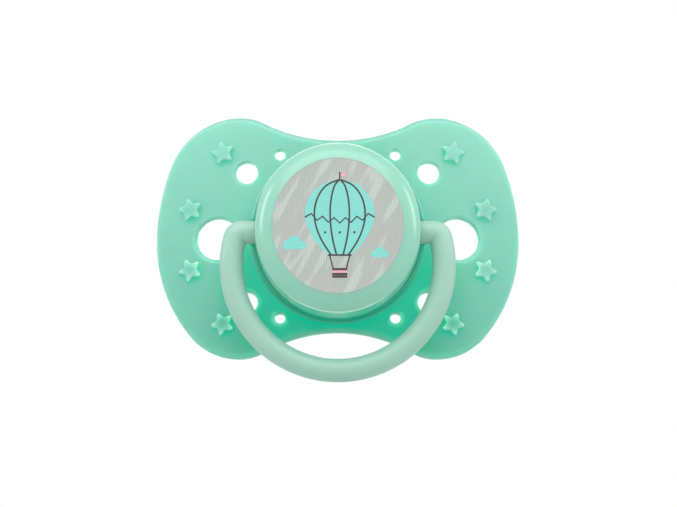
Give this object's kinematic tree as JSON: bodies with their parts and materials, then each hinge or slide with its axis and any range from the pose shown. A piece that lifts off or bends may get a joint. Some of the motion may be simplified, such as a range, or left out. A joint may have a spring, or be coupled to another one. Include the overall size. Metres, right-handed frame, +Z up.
{
  "type": "pacifier",
  "caption": "Baby's pacifier: bent butterfly shield with vent holes and raised stars, round knob with a picture disc, hinged ring handle and soft teat.",
  "frame": {"origin": "centre of the shield's rear face, on the axis of the teat", "axes": "+X along the width of the shield, to the right seen from the knob; +Y along the teat towards the mouth; +Z up, with the waist for the nose above and the ring handle hanging down"},
  "size_m": [0.0556, 0.0411, 0.0418],
  "materials": {
    "mint_plastic": "satin",
    "cap_plastic": "polished",
    "ring_plastic": "satin",
    "silicone": "translucent",
    "picture_film": "printed"
  },
  "bodies": {
    "soother": {"shield": "mint_plastic", "teat": "silicone", "knob_base": "mint_plastic", "knob_cap": "cap_plastic", "picture_disc": "picture_film"},
    "ring": {"ring_handle": "ring_plastic"}
  },
  "joints": [
    {"name": "ring_pivot", "type": "hinge", "parent": "soother", "child": "ring", "pos_m": [0, -0.0053, 0], "axis": [-1, 0, 0], "range_deg": [-6, 186]}
  ]
}
